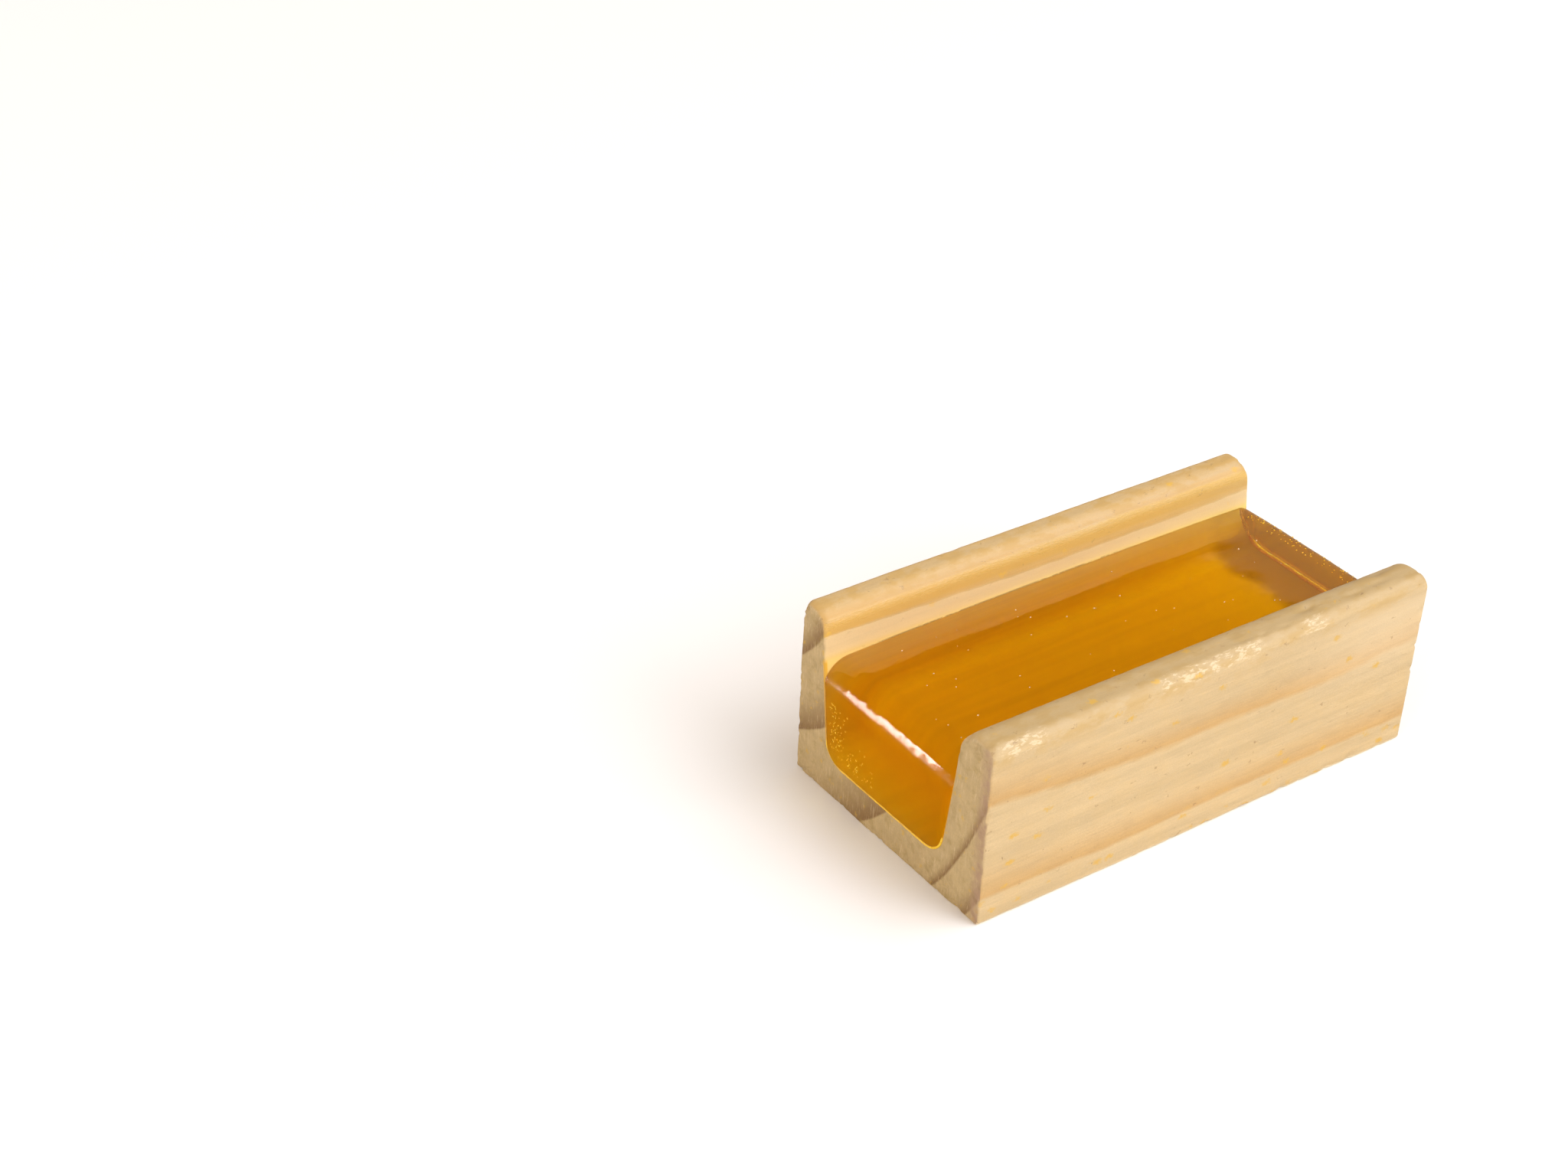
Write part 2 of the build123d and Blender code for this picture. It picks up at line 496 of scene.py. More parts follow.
def with_specks(tree, wood, colour):
    """A painted glow along the base edge, brown resin canals along the grain, and specks of spilt rosin."""
    # The base edge is painted lighter: painted light in place of the shade where it meets the floor
    base_glow = product(tree, map_to(tree, wood.z, *BASE_GLOW_Z), wood.long_grain, 0.7)
    colour = blend(tree, base_glow, colour, PAINTED_BASE_GLOW)
    canals = specks(tree, wood.place, (0.42, 1.2, 1.2), 0.19, 0.35, shift=3.0)
    colour = blend(tree, product(tree, canals, wood.long_grain, 0.6), colour, RESIN_CANAL)

    # The spilt rosin is closest together along the base
    low_share = map_to(tree, wood.z, *SPILT_Z)
    spilt = specks(tree, wood.place, (0.20, 0.36, 0.36), 0.17, 0.85, shift=21.0)
    spilt_low = product(tree, specks(tree, wood.place, (0.38, 0.60, 0.60), 0.30, 0.8, shift=33.0), low_share)
    spilt = product(tree, calc(tree, "MAXIMUM", spilt, spilt_low), wood.long_grain, 0.8)
    return blend(tree, spilt, colour, SPILT_ROSIN)


def by_channel(tree, wood):
    """1 on the channel's surface, and 0 a little way outside its section."""
    flat_at_base = HALF_CHANNEL - HEIGHT * TAPER_RUN - CHANNEL_CORNER
    flat_width = calc(tree, "ADD", calc(tree, "MULTIPLY", wood.z, TAPER_RUN), flat_at_base)
    off_middle = calc(tree, "ABSOLUTE", calc(tree, "SUBTRACT", wood.y, CHANNEL_MIDDLE))
    beyond = calc(tree, "MAXIMUM", calc(tree, "SUBTRACT", off_middle, flat_width), 0.0)
    below = calc(tree, "MAXIMUM", calc(tree, "SUBTRACT", FLOOR + CHANNEL_CORNER, wood.z), 0.0)
    squares = calc(tree, "ADD", product(tree, beyond, beyond), product(tree, below, below))
    off_corner = calc(tree, "SQRT", squares)
    return map_to(tree, off_corner, CHANNEL_CORNER + 0.32, CHANNEL_CORNER + 0.12)


def with_rosin(tree, wood, near_channel, inside, colour):
    """Stains where rosin has soaked in and where it has run onto each end, with a painted pool of light on the
    channel's floor and painted shade near its far end.
    """
    soaked = calc(tree, "MULTIPLY", map_to(tree, wood.z, *SOAKED_Z, 0.16, 1.0), inside)
    near_tone = map_to(tree, wood.streak, *NOISE_RANGE, 0.72, 0.88)
    # Towards the far end more of the lighter soaked colour is laid on: a painted pool of light where light
    # through the cake falls on the floor
    soaked_share_and_glow = calc(tree, "ADD", near_tone, map_to(tree, wood.x, -12.0, 16.0, 0.0, 0.20))
    soaked_colour = blend(tree, map_to(tree, wood.x, -30.0, 0.0), SOAKED_NEAR, SOAKED_FAR)
    colour = blend(tree, product(tree, soaked, soaked_share_and_glow), colour, soaked_colour)
    # The channel's floor under the cake is painted darker brown towards the far end: painted shade
    feather = centred(tree, grain(tree, wood.place, (0.16, 0.35, 0.35), 2.0, 0.5, shift=41.0), 3.0)
    far_shade = map_to(tree, calc(tree, "ADD", wood.x, feather), FAR_SHADE_FROM - 0.6, FAR_SHADE_FROM + 1.6)
    under_top = product(tree, map_to(tree, wood.z, 10.0, 5.0, 0.3, 1.0), map_to(tree, wood.z, *FAR_SHADE_Z))
    colour = blend(tree, product(tree, far_shade, inside, under_top, 0.55), colour, FAR_SHADE_BROWN)
    by_end = map_to(tree, calc(tree, "ABSOLUTE", wood.x), HALF_LENGTH - 0.45, HALF_LENGTH - 0.25)
    run = product(tree, near_channel, map_to(tree, wood.z, *RUN_Z), by_end, 0.85)
    return blend(tree, run, colour, RUN_GOLD)


def with_contact_line(tree, wood, inside, colour):
    """A dark line where the rosin's top meets the thin wall, broken here and there, and paler wood above it."""
    share = calc(tree, "ADD", calc(tree, "DIVIDE", wood.x, 2 * HALF_LENGTH), 0.5)
    power = calc(tree, "POWER", calc(tree, "MAXIMUM", share, 0.0), CROWN_POWER)
    crown = calc(tree, "MULTIPLY", calc(tree, "SINE", calc(tree, "MULTIPLY", power, CROWN_TURN)), CROWN)
    contact = calc(tree, "ADD", crown, CAKE_TOP - END_DROP - SIDE_DROP + 0.07)
    gap = calc(tree, "ABSOLUTE", calc(tree, "SUBTRACT", wood.z, contact))
    thin_inside = map_to(tree, wood.y, *THIN_INSIDE)
    line = product(tree, map_to(tree, gap, 0.13, 0.05), thin_inside, wood.long_grain)
    along = product(tree, map_to(tree, wood.x, -26.0, -20.0), map_to(tree, wood.x, 14.0, 6.0))
    line = product(tree, line, along, map_to(tree, wood.mottle, 0.4, 0.5), 0.6)
    colour = blend(tree, line, colour, CONTACT_BROWN)
    early = map_to(tree, wood.late, 0.3, 0.0)
    pale = product(tree, inside, early, map_to(tree, wood.z, *PALE_INSIDE_Z), thin_inside, 0.5)
    return blend(tree, pale, colour, PALE_INSIDE)


def pine_finish(tree, wood, inside):
    """Roughness and normal: fibres, pores, cutter marks in the channel, and a gloss high on its walls."""
    chatter = grain(tree, wood.place, (2.4, 0.6, 0.9), 3.0, 0.6, shift=9.0)
    glints = grain(tree, wood.place, (1.6, 5.0, 5.0), 3.0, 0.7, shift=23.0)
    gloss = product(tree, inside, map_to(tree, wood.z, *GLOSS_Z), map_to(tree, glints, 0.35, 0.6, 0.5, 1.0))
    sanded = map_to(tree, wood.fibre, *NOISE_RANGE, 0.36, 0.54)
    roughness = calc(tree, "SUBTRACT", sanded, calc(tree, "MULTIPLY", gloss, 0.24))
    relief = calc(tree, "ADD", calc(tree, "MULTIPLY", wood.fibre, 0.7), calc(tree, "MULTIPLY", wood.pores, 0.5))
    relief = calc(tree, "ADD", relief, calc(tree, "MULTIPLY", wood.late, 0.25))
    relief = calc(tree, "ADD", relief, product(tree, chatter, inside, 0.4))
    relief = calc(tree, "ADD", relief, product(tree, glints, gloss, 1.2))
    bump = add_node(tree, "ShaderNodeBump", {"Strength": 0.45, "Distance": 0.05 * MM, "Height": relief})
    return roughness, bump.outputs[0]


def pine_material():
    material, tree = new_material("sanded_pine")
    wood = pine_figure(tree)
    near_channel = by_channel(tree, wood)
    inside = product(tree, near_channel, wood.long_grain)
    colour = bare_wood(tree, wood)
    for layer in (with_stains_and_top_shade, with_wear, with_end_marks, with_specks):
        colour = layer(tree, wood, colour)
    colour = with_rosin(tree, wood, near_channel, inside, colour)
    colour = with_contact_line(tree, wood, inside, colour)
    roughness, normal = pine_finish(tree, wood, inside)
    surface = add_node(
        tree,
        "ShaderNodeBsdfPrincipled",
        {"Base Color": colour, "Roughness": roughness, "Normal": normal, "Specular IOR Level": 0.45},
    )
    add_node(tree, "ShaderNodeOutputMaterial", {"Surface": surface.outputs[0]})
    return material


# ---- Rosin ----

CLEAR_AMBER = (1.0, 0.93, 0.6, 1.0)
AMBER_DEPTH = (0.993, 0.937, 0.0, 1.0)
DEPTH_DENSITY = 250.0  # per metre
ROSIN_IOR = 1.54
CHIP_DARK, CHIP_BRIGHT = (0.85, 0.50, 0.015), (1.0, 0.70, 0.05)
POWDER_DARK, POWDER_PALE = (0.72, 0.55, 0.32), (0.88, 0.78, 0.60)


def rosin_material():
    """Clear amber resin: glossy except on the near end's face, and coloured by its depth."""
    material, tree = new_material("amber_rosin")
    place = millimetres(tree)
    waves = grain(tree, place, (0.12, 0.35, 0.35), 2.0)
    strokes = grain(tree, place, (0.10, 2.2, 2.2), 3.0, 0.6)
    grit = grain(tree, place, (3.0, 3.0, 3.0), 2.0, 0.6)
    facing = add_node(tree, "ShaderNodeTexCoord").outputs["Normal"]
    facing_x = add_node(tree, "ShaderNodeSeparateXYZ", {0: facing}).outputs[0]
    on_end = map_to(tree, facing_x, -0.75, -0.98)
    roughness = map_to(tree, grit, 0.3, 0.7, 0.03, 0.09)
    roughness = calc(tree, "ADD", roughness, calc(tree, "MULTIPLY", on_end, 0.12))
    height = calc(tree, "ADD", waves, calc(tree, "MULTIPLY", strokes, 0.12))
    height = calc(tree, "ADD", height, product(tree, grit, on_end, 0.25))
    bump = add_node(tree, "ShaderNodeBump", {"Strength": 0.25, "Distance": 0.1 * MM, "Height": height})
    surface = add_node(
        tree,
        "ShaderNodeBsdfPrincipled",
        {
            "Base Color": CLEAR_AMBER,
            "Roughness": roughness,
            "IOR": ROSIN_IOR,
            "Specular IOR Level": 0.15,
            "Transmission Weight": 1.0,
            "Normal": bump.outputs[0],
        },
    )
    absorbed = {"Color": AMBER_DEPTH, "Density": DEPTH_DENSITY}
    depth = add_node(tree, "ShaderNodeVolumeAbsorption", absorbed)
    add_node(tree, "ShaderNodeOutputMaterial", {"Surface": surface.outputs[0], "Volume": depth.outputs[0]})
    return material


def fleck_material():
    material, tree = new_material("golden_chips")
    shine = grain(tree, millimetres(tree), (6.0, 6.0, 6.0), 2.0, 0.6)
    colour = blend(tree, map_to(tree, shine, 0.35, 0.65), CHIP_DARK, CHIP_BRIGHT)
    surface = add_node(tree, "ShaderNodeBsdfPrincipled", {"Base Color": colour, "Roughness": 0.4})
    add_node(tree, "ShaderNodeOutputMaterial", {"Surface": surface.outputs[0]})
    return material


def dust_material():
    material, tree = new_material("rosin_powder")
    clumps = grain(tree, millimetres(tree), (9.0, 9.0, 9.0), 2.0, 0.6)
    colour = blend(tree, map_to(tree, clumps, 0.35, 0.65), POWDER_DARK, POWDER_PALE)
    surface = add_node(tree, "ShaderNodeBsdfPrincipled", {"Base Color": colour, "Roughness": 0.7})
    add_node(tree, "ShaderNodeOutputMaterial", {"Surface": surface.outputs[0]})
    return material


# ---- The trough ----

TROUGH_STEPS = [0, 56, 76, 56, 0]  # on each straight run of the section
TROUGH_ARC_STEPS = 9
WALL_STEPS = 6  # through the wood, from the outer face to the channel
HAIR = 0.001  # a run too short to see, which lets a path start and end on a rounding


def channel_side(wall_top, z):
    return wall_top + (HEIGHT - z) * TAPER_RUN


def trough_grid():
    """The trough's section: rows from its outer face to its channel."""
    inner_cut = INNER_TOP_ROUND * math.tan((RIGHT_ANGLE - math.atan(TAPER_RUN)) / 2) + HAIR
    outer = [
        (-SIDE + THICK_OUTER_ROUND + HAIR, HEIGHT, 0),
        (-SIDE, HEIGHT, THICK_OUTER_ROUND),
        (-SIDE, 0, BASE_ROUND),
        (SIDE, 0, BASE_ROUND),
        (SIDE, HEIGHT, THIN_OUTER_ROUND),
        (SIDE - THIN_OUTER_ROUND - HAIR, HEIGHT, 0),
    ]
    thick_top, thin_top = -SIDE + THICK_WALL_TOP, SIDE - THIN_WALL_TOP
    inner = [
        (thick_top - inner_cut, HEIGHT, 0),
        (thick_top, HEIGHT, INNER_TOP_ROUND),
        (-SIDE + channel_side(THICK_WALL_TOP, FLOOR), FLOOR, CHANNEL_CORNER),
        (SIDE - channel_side(THIN_WALL_TOP, FLOOR), FLOOR, CHANNEL_CORNER),
        (thin_top, HEIGHT, INNER_TOP_ROUND),
        (thin_top + inner_cut, HEIGHT, 0),
    ]
    return patch(
        rounded_path(outer, TROUGH_STEPS, TROUGH_ARC_STEPS),
        rounded_path(inner, TROUGH_STEPS, TROUGH_ARC_STEPS),
        WALL_STEPS,
    )


def inset(grid, amount):
    """The grid with its rim moved inwards, and its inner points spread to suit."""
    if amount <= 0:
        return grid
    loop = rim(grid)
    moved = loop - outward(loop) * amount
    rows, columns = grid.shape[:2]
    first, last = moved[:columns], moved[columns + rows - 2:2 * columns + rows - 2][::-1]
    made = patch(first, last, rows - 1)
    made[:, -1] = moved[columns - 1:columns + rows - 1]
    made[0, 0] = moved[0]
    made[1:-1, 0] = moved[2 * columns + rows - 2:][::-1]
    return made


TORN_PLACE = (-SIDE + 0.35, HEIGHT - 0.6)  # Y and Z of the edge that the torn patches lie along
TORN_DEPTH = 0.16
DENTS = 16  # in the thick wall's top
DENT_DEPTH = 0.16
DENTS_X, DENTS_Y = (2, 26), (-15.2, -12.0)
SANDED_DEPTH = 0.07
LUMP_DEPTH = 0.02
EDGE_CHIP_DEPTH = 0.30
TOP_CHIP_DEPTH = 0.08
BONDED_UP_TO = 18.0  # Z: above this the channel's walls are free of the rosin


def torn_share(points):
    """How much of the fibre is torn out at each point: patches along the thick wall's outer top edge."""
    away = np.hypot(points[:, 1] - TORN_PLACE[0], points[:, 2] - TORN_PLACE[1])
    share = np.zeros(len(points))
    for middle, half, tall in TORN:
        along = np.abs(points[:, 0] - middle) / half
        share = np.maximum(share, smoothstep(1 - along, 0, 0.35) * smoothstep(tall - away, 0, 0.5))
    return share


def trough_relief(points):
    """Uneven sanding, worn edges, torn fibres and dents, in millimetres outwards."""
    sanded = SANDED_DEPTH * fractal(points, (0.045, 0.13, 0.13), 2)
    lumpy = LUMP_DEPTH * fractal(points, (0.5, 0.7, 0.7), 2, 5.0)
    high = smoothstep(points[:, 2], HEIGHT - 2.2, HEIGHT - 0.4)
    by_side = smoothstep(np.abs(points[:, 1]), SIDE - 1.6, SIDE - 0.3)
    low = smoothstep(1.6 - points[:, 2], 0, 1.4) * by_side
    at_end = smoothstep(np.abs(points[:, 0]), HALF_LENGTH - 1.4, HALF_LENGTH - 0.2)
    chips = np.maximum(fractal(points, (0.55, 0.9, 0.9), 3, 9.0) - 0.12, 0)
    relief = sanded + lumpy - chips * (EDGE_CHIP_DEPTH * np.maximum(low, at_end) + TOP_CHIP_DEPTH * high)
    relief -= TORN_DEPTH * torn_share(points) * (0.5 + 0.8 * fractal(points, (0.5, 2.0, 2.0), 2, 3.0))
    spread = random.Random(11)
    for _ in range(DENTS):
        middle = np.array((spread.uniform(*DENTS_X), spread.uniform(*DENTS_Y), HEIGHT))
        size = np.array((spread.uniform(0.5, 1.3), spread.uniform(0.25, 0.45), 1.0))
        relief -= DENT_DEPTH * np.exp(-(((points - middle) / size) ** 2).sum(1))
    channel = smoothstep(HALF_CHANNEL + 1.2 - np.abs(points[:, 1] - CHANNEL_MIDDLE), 0, 0.6)
    under_top = smoothstep(BONDED_UP_TO - points[:, 2], 0, 1.2)
    bonded = channel * under_top * smoothstep(points[:, 2], FLOOR - 1.0, FLOOR - 0.5)
    return relief * (1 - bonded)


def build_trough():
    whole = trough_grid()

    def section(x):
        depth = HALF_LENGTH - abs(x)
        grid = inset(whole, quarter_round(depth, ARRIS))
        near_top = smoothstep(grid[..., 1], HEIGHT - WALL_END_REACH, HEIGHT)
        drop = quarter_round(depth, WALL_END_ROUND) * near_top
        grid = grid.copy()
        grid[..., 1] -= drop
        return grid

    places = stations(HALF_LENGTH, (ARRIS, WALL_END_ROUND), (ARRIS, WALL_END_ROUND), STATION)
    points, faces = loft(section, places)
    piece = add_piece("pine_trough", points, faces, pine_material(), "root")
    shift_along_normals(piece, trough_relief)
    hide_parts("wooden_trough")
    return piece


# ---- The cake ----

CAKE_FLOOR_STEPS = 60
CAKE_SIDE_STEPS = 26
CAKE_ARC_STEPS = 9
CAKE_STATION = 0.4  # between the rings of points along the length
SOFT_RELIEF = 0.03
PIT_DEPTH = 0.016
CRUMBS = 44
CRUMBS_X, CRUMBS_Y = (-27, 27), (-9, 9.5)
CRUMB_SIZE = (0.045, 0.10)
NEAR_CHIPS = 120
TRAIL_START = (10.1, 12.3)  # Y and Z where the near chips' trail starts
TRAIL_DOWN = (0.7, 5.9)  # how far inwards and down it runs first
TRAIL_ALONG = (6.0, 0.7)  # and then
TRAIL_SPREAD = (1.4, 1.3)
FAR_CHIPS = 120
FAR_CHIPS_X, FAR_CHIPS_Y = (27.6, 29.9), (-9.5, 10.0)
BEAD_SIDES = 12
BEAD_UNEVENNESS = 0.5
BEAD_TAPER = 30  # the larger, the more suddenly a bead thins at its two tips
FAR_BEAD, NEAR_BEAD = 0.48, 0.28  # thickness


def cake_top(x, y):
    """Height of the cake's top: a little lower at both ends, and where it meets the walls."""
    along = max(x + HALF_LENGTH, 0) / (2 * HALF_LENGTH)
    across = min(abs(y - CHANNEL_MIDDLE) / HALF_CHANNEL, 1.0)
    crown = CROWN * math.sin(CROWN_TURN * along ** CROWN_POWER) - SIDE_DROP * across ** 3
    return CAKE_TOP - END_DROP + crown - FAR_FALL * max(x - FAR_FALL_FROM, 0) ** 2


def cake_grid(x):
    """The cake's section: rows from the channel's floor to the cake's top."""
    depth = CAKE_END - abs(x)
    fall = quarter_round(depth, NEAR_TOP_ROUND if x < 0 else FAR_TOP_ROUND)
    shrink = quarter_round(depth, END_EDGE_ROUND) - BOND
    corner = CHANNEL_CORNER - shrink

    def thick_side(z):
        return -SIDE + channel_side(THICK_WALL_TOP, z) + shrink

    def thin_side(z):
        return SIDE - channel_side(THIN_WALL_TOP, z) - shrink

    bottom = FLOOR + shrink
    straight = FLOOR + CHANNEL_CORNER
    floor = rounded_path(
        [
            (thick_side(straight), straight, 0),
            (thick_side(bottom), bottom, corner),
            (thin_side(bottom), bottom, corner),
            (thin_side(straight), straight, 0),
        ],
        [2, CAKE_FLOOR_STEPS, 2],
        CAKE_ARC_STEPS,
    )
    rounder = 0
    if x > 0:
        rounder = quarter_round(depth, FAR_CORNER_ROUND) - quarter_round(depth, END_EDGE_ROUND)
    left = thick_side(cake_top(x, -SIDE) - fall) + rounder
    right = thin_side(cake_top(x, SIDE) - fall) - rounder
    share = (floor[:, 0] - floor[0, 0]) / (floor[-1, 0] - floor[0, 0])
    across = left + (right - left) * share
    top = np.array([(y, cake_top(x, y) - fall) for y in across])
    return patch(floor, top, CAKE_SIDE_STEPS)


def cake_relief(points):
    """The cast surface's unevenness: only where it is free of the wood, so that no air gets between them."""
    free_top = smoothstep(points[:, 2], CAKE_TOP - 4.0, CAKE_TOP - 2.0)
    free_end = smoothstep(np.abs(points[:, 0]), HALF_LENGTH - 0.2, HALF_LENGTH + 0.1)
    near_edge = smoothstep(-points[:, 0], HALF_LENGTH - 3.5, HALF_LENGTH - 1.5) * free_top
    soft = SOFT_RELIEF * fractal(points, (0.12, 0.25, 0.25), 2, 2.0)
    pitted = -PIT_DEPTH * np.maximum(fractal(points, (1.1, 1.1, 1.1), 2, 8.0), 0)
    return np.maximum(free_top, free_end) * soft + near_edge * pitted


def build_cake():
    near_rounds, far_rounds = (END_EDGE_ROUND, NEAR_TOP_ROUND), (END_EDGE_ROUND, FAR_CORNER_ROUND)
    places = stations(CAKE_END, near_rounds, far_rounds, CAKE_STATION)
    points, faces = loft(cake_grid, places)
    piece = add_piece("amber_cake", points, faces, rosin_material(), "root")
    shift_along_normals(piece, cake_relief)
    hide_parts("rosin_cake")
    return piece


def build_dust():
    """Crumbs of rosin powder left on the cake's top."""
    spread = random.Random(8)
    crumbs = []
    for _ in range(CRUMBS):
        x, y = spread.uniform(*CRUMBS_X), spread.uniform(*CRUMBS_Y)
        size = spread.uniform(*CRUMB_SIZE)
        centre = (x, y, cake_top(x, y) + 0.02)
        crumbs.append(ball(centre, (size, size * spread.uniform(0.6, 1.0), size * 0.6)))
    points, faces = joined(crumbs)
    return add_piece("rosin_dust", points, faces, dust_material(), "root")


def build_flecks():
    """Bright chips in the cake's skin: by a lower corner of the near end, and along the far end's top edge."""
    spread = random.Random(5)
    chips = []
    for _ in range(NEAR_CHIPS):
        share = spread.uniform(0, 1)
        down, along = min(share * 2, 1), max(share * 2 - 1, 0)
        across = TRAIL_START[0] - TRAIL_DOWN[0] * down - TRAIL_ALONG[0] * along
        across -= abs(spread.gauss(0, TRAIL_SPREAD[0]))
        height = TRAIL_START[1] - TRAIL_DOWN[1] * down - TRAIL_ALONG[1] * along
        height += abs(spread.gauss(0, TRAIL_SPREAD[1])) * down
        size = spread.uniform(0.03, 0.06)
        lump = (0.05, size, size * spread.uniform(1.0, 2.4))
        chips.append(ball((-CAKE_END - 0.01, across, height), lump, (spread.uniform(-0.6, 0.2), 0, 0)))
    for _ in range(FAR_CHIPS):
        x, y = spread.uniform(*FAR_CHIPS_X), spread.uniform(*FAR_CHIPS_Y)
        height = cake_top(x, y) - quarter_round(CAKE_END - x, FAR_TOP_ROUND)
        size = spread.uniform(0.03, 0.07)
        turn = (0, 0.4, spread.uniform(0, math.pi))
        chips.append(ball((x, y, height + 0.01), (size * spread.uniform(1.0, 2.2), size, 0.05), turn))
    points, faces = joined(chips)
    return add_piece("rosin_flecks", points, faces, fleck_material(), "root")


def build_bead(name, x, thickness):
    """A thin golden line of rosin that has run between one end of the cake and the channel's edge."""
    path = cake_grid(HALF_LENGTH - ARRIS)[0]
    stretch = np.column_stack([np.full(len(path), x), path])
    ring = np.linspace(0, 2 * math.pi, BEAD_SIDES, endpoint=False)
    swelling = 1 + BEAD_UNEVENNESS * fractal(stretch, (0.9, 0.9, 0.9), 2, 6.0)
    from_tips = np.linspace(0, 1, len(path)) * np.linspace(1, 0, len(path))
    taper = np.sqrt(np.clip(from_tips * BEAD_TAPER, 0.002, 1))
    radii = thickness / 2 * swelling * taper
    run = np.gradient(path, axis=0)
    run = run / np.linalg.norm(run, axis=1)[:, None]
    points = []
    for spot, radius, (dy, dz) in zip(stretch, radii, run):
        lengthwise, sideways = np.array((1, 0, 0)), np.array((0, -dz, dy))
        for a in ring:
            points.append(spot + radius * (math.cos(a) * lengthwise + math.sin(a) * sideways))
    faces = []
    for i in range(len(path) - 1):
        for j in range(BEAD_SIDES):
            k = (j + 1) % BEAD_SIDES
            here, there = i * BEAD_SIDES, (i + 1) * BEAD_SIDES
            faces.append((here + j, there + j, there + k, here + k))
    faces.append(tuple(range(BEAD_SIDES)))
    faces.append(tuple(range(len(points) - 1, len(points) - 1 - BEAD_SIDES, -1)))
    return add_piece(name, np.array(points), faces, fleck_material(), "root")


# ---- Stage ----

FLOOR_REACH = 4.0  # metres
FLOOR_COLOUR = (0.93, 0.92, 0.91, 1)
COOL_LIGHT = (0.97, 1.0, 1.06)
WARM_LIGHT = (1.0, 0.85, 0.72)
PINK_LIGHT = (1.0, 0.87, 0.84)
WORLD_TINT = (1.0, 0.90, 0.80)
BAND_NORTH = 0.56  # the bright low band's top tilts about this northward share of the direction
BAND_TILT = 0.8
BAND_TOP = (0.524, 0.514)
CAMERA_LENS = 58.85
CAMERA_PLACE = (-0.1626, -0.1627, 0.1673)  # metres
CAMERA_TURNS = (36.08, 33.0, 2.39)  # heading, pitch and roll, in degrees


def add_floor():
    signs = ((-1, -1), (1, -1), (1, 1), (-1, 1))
    corners = [(east * FLOOR_REACH, north * FLOOR_REACH, 0) for east, north in signs]
    mesh = bpy.data.meshes.new("floor")
    mesh.from_pydata(corners, [], [(0, 1, 2, 3)])
    material, tree = new_material("pale_floor")
    surface = add_node(tree, "ShaderNodeBsdfPrincipled", {"Base Color": FLOOR_COLOUR, "Roughness": 0.7})
    add_node(tree, "ShaderNodeOutputMaterial", {"Surface": surface.outputs[0]})
    mesh.materials.append(material)
    floor = bpy.data.objects.new("floor", mesh)
    bpy.context.scene.collection.objects.link(floor)
    floor.visible_glossy = False  # it would veil the cake's end


def add_softbox(name, direction, distance, width, height, power, colour=(1, 1, 1)):
    """A rectangular light that looks at the part from a direction, in metres and watts."""
    light = bpy.data.lights.new(name, "AREA")
    light.shape = "RECTANGLE"
    light.size = width
    light.size_y = height
    light.energy = power
    light.color = colour
    lamp = bpy.data.objects.new(name, light)
    away = Vector(direction).normalized()
    lamp.location = Vector((0, 0, HEIGHT * MM / 2)) + away * distance
    lamp.rotation_euler = away.to_track_quat("Z", "Y").to_euler()
    lamp.visible_camera = False
    bpy.context.scene.collection.objects.link(lamp)


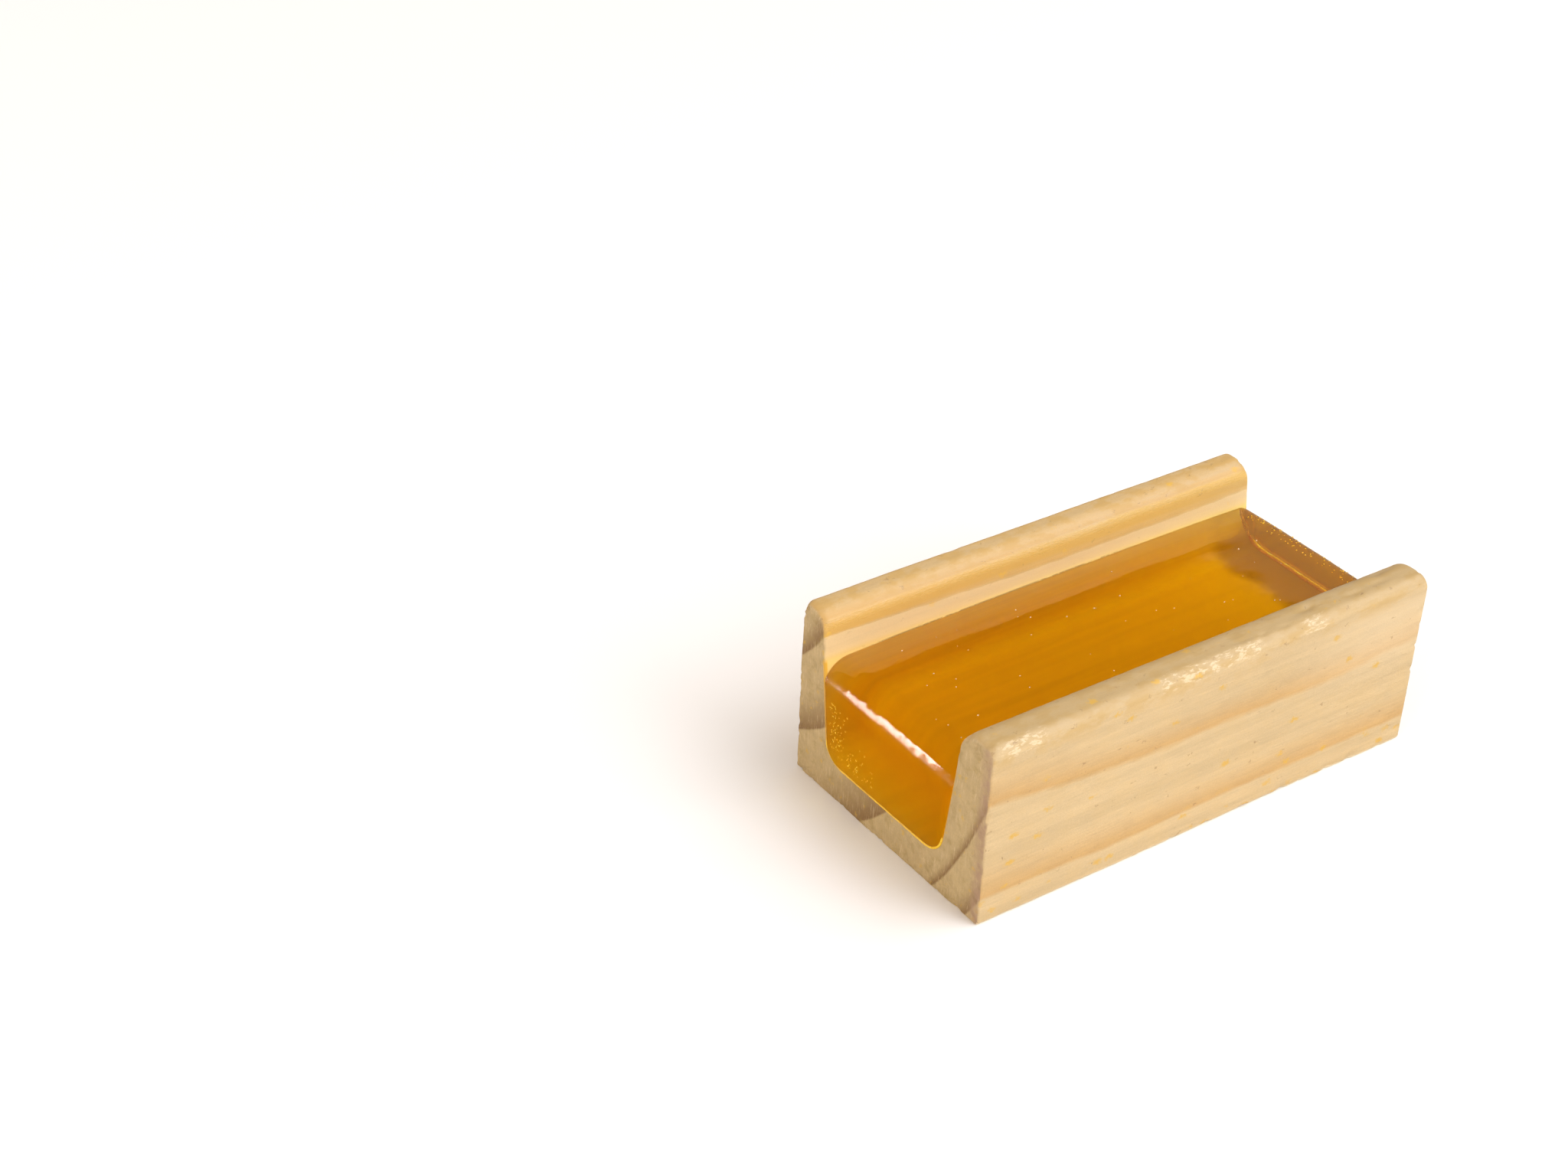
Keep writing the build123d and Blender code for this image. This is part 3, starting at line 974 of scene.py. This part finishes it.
def add_world(colour, light_level, mirrored_level, low_level, backdrop_level):
    """An even light, and a pale backdrop where the camera looks past the floor.

    Reflections see it dim, except for low down beyond the far end.
    """
    world = bpy.data.worlds.new("studio")
    world.use_nodes = True
    tree = world.node_tree
    tree.nodes.clear()
    rays = add_node(tree, "ShaderNodeLightPath")
    glossy, passed = rays.outputs["Is Glossy Ray"], rays.outputs["Is Transmission Ray"]
    mirrored = calc(tree, "SUBTRACT", glossy, passed, clamp=True)
    away = add_node(tree, "ShaderNodeTexCoord").outputs["Generated"]
    east, north, up = add_node(tree, "ShaderNodeSeparateXYZ", {0: away}).outputs
    tilt = calc(tree, "MULTIPLY", calc(tree, "SUBTRACT", north, BAND_NORTH), BAND_TILT)
    under_band_top = map_to(tree, calc(tree, "ADD", up, tilt), *BAND_TOP)
    low = product(tree, under_band_top, map_to(tree, up, -0.5, -0.3), map_to(tree, east, 0.1, 0.3))
    dim = map_to(tree, low, 0.0, 1.0, mirrored_level, low_level)
    change = product(tree, mirrored, calc(tree, "SUBTRACT", dim, light_level))
    strength = calc(tree, "ADD", light_level, change)
    backdrop = calc(tree, "MULTIPLY", rays.outputs["Is Camera Ray"], backdrop_level)
    strength = calc(tree, "MAXIMUM", strength, backdrop)
    tinted = blend(tree, rays.outputs["Is Camera Ray"], colour, (1, 1, 1))
    background = add_node(tree, "ShaderNodeBackground", {"Color": tinted, "Strength": strength})
    add_node(tree, "ShaderNodeOutputWorld", {"Surface": background.outputs[0]})
    bpy.context.scene.world = world


def add_camera():
    """Above the trough's near end and its thick wall, with the part right of the middle of the frame."""
    data = bpy.data.cameras.new("camera")
    data.sensor_width = 36.0
    data.lens = CAMERA_LENS
    data.clip_start = 0.01
    camera = bpy.data.objects.new("camera", data)
    heading, pitch, roll = (math.radians(turn) for turn in CAMERA_TURNS)
    aim = Matrix.Rotation(-heading, 4, "Z") @ Matrix.Rotation(RIGHT_ANGLE - pitch, 4, "X")
    camera.matrix_world = Matrix.Translation(CAMERA_PLACE) @ aim @ Matrix.Rotation(roll, 4, "Z")
    bpy.context.scene.collection.objects.link(camera)
    bpy.context.scene.camera = camera


build_trough()
build_cake()
build_dust()
build_flecks()
build_bead("far_bead", HALF_LENGTH - 0.02, FAR_BEAD)
build_bead("near_bead", 0.06 - HALF_LENGTH, NEAR_BEAD)
add_floor()
add_world(WORLD_TINT, light_level=0.60, mirrored_level=0.03, low_level=0.42, backdrop_level=1.0)
add_softbox("key", (0.40, -0.45, 0.80), distance=1.5, width=1.35, height=1.35, power=17.4, colour=COOL_LIGHT)
add_softbox("side", (0.35, -0.85, 0.40), distance=1.5, width=1.0, height=1.0, power=7.2, colour=COOL_LIGHT)
add_softbox("fill", (-0.85, -0.40, 0.50), distance=1.5, width=1.1, height=1.1, power=6.0, colour=WARM_LIGHT)
add_softbox(
    "window", (-0.770, 0.603, 0.204), distance=0.62, width=0.038, height=0.24, power=0.58, colour=PINK_LIGHT
)
add_camera()
bpy.context.scene.view_settings.view_transform = "Standard"
